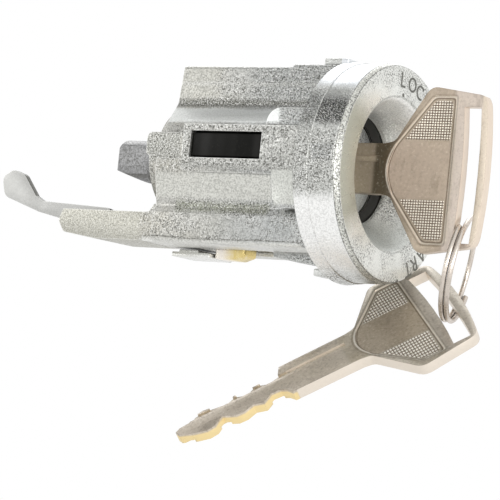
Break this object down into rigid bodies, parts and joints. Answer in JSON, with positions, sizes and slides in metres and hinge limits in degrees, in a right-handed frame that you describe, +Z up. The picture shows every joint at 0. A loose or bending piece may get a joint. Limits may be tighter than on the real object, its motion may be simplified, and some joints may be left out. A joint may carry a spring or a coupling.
{
  "type": "ignition switch",
  "caption": "Die-cast ignition lock cylinder with a round bezel, a stop lever and a key in its plug; a second key hangs from a split ring.",
  "frame": {"origin": "the plug's axis at the plane of the bezel's front face", "axes": "+X along the plug's axis, out of the bezel towards the bow of the key; +Z up through the web of the case; -Y is the side with the window and the stop lever"},
  "size_m": [0.0914, 0.0374, 0.0648],
  "materials": {
    "cast_zinc": "blasted zinc die-casting",
    "bezel_zinc": "fine blasted zinc",
    "black_plastic": "moulded, semi-matte",
    "brass": "stamped",
    "yellow_plating": "yellow zinc plating",
    "spring_steel": "bright",
    "lever_steel": "stamped, satin",
    "drive_metal": "dark casting",
    "key_nickel": "worn nickel plating",
    "spare_key_nickel": "worn nickel plating",
    "ring_steel": "plated wire"
  },
  "bodies": {
    "case": {"lock_case": "cast_zinc", "face_bezel": "bezel_zinc", "keyhole_ring": "black_plastic", "slider_spring": "spring_steel", "lever_pin": "spring_steel", "bottom_plate": "cast_zinc"},
    "plug": {"lock_plug": "cast_zinc", "wafer_1": "brass", "wafer_2": "brass", "wafer_3": "brass", "wafer_4": "brass", "wafer_5": "brass", "wafer_6": "brass", "wafer_7": "brass", "wafer_8": "brass", "retaining_clip": "spring_steel", "drive_tail": "drive_metal"},
    "key": {"ignition_key": "key_nickel"},
    "ring": {"split_ring": "ring_steel"},
    "spare": {"spare_key": "spare_key_nickel"},
    "lever": {"stop_lever": "lever_steel"},
    "slider": {"reminder_slider": "black_plastic"},
    "pawl": {"lock_pawl": "yellow_plating"}
  },
  "joints": [
    {"name": "plug_turn", "type": "hinge", "parent": "case", "child": "plug", "pos_m": [0, 0, 0], "axis": [-1, 0, 0], "range_deg": [0, 120]},
    {"name": "key_slide", "type": "slide", "parent": "plug", "child": "key", "axis": [1, 0, 0], "range_m": [0, 0.036]},
    {"name": "ring_swing", "type": "hinge", "parent": "key", "child": "ring", "pos_m": [0.01313, -0.00005, -0.00875], "axis": [1, 0, 0], "range_deg": [-8, 1]},
    {"name": "spare_swing", "type": "hinge", "parent": "ring", "child": "spare", "pos_m": [0.00832, 0.00895, -0.01982], "axis": [-0.7104, 0.5071, 0.488], "range_deg": [-8, 1]},
    {"name": "lever_lift", "type": "hinge", "parent": "case", "child": "lever", "pos_m": [-0.0455, -0.0056, -0.0112], "axis": [0, 1, 0], "range_deg": [0, 8]},
    {"name": "slider_push", "type": "slide", "parent": "case", "child": "slider", "axis": [0, -1, 0], "range_m": [0, 0.0006], "stiffness_N_per_m": 300, "springref_m": -0.0003},
    {"name": "pawl_press", "type": "slide", "parent": "case", "child": "pawl", "axis": [0, 0, 1], "range_m": [0, 0.0012], "stiffness_N_per_m": 500, "springref_m": -0.0004}
  ]
}
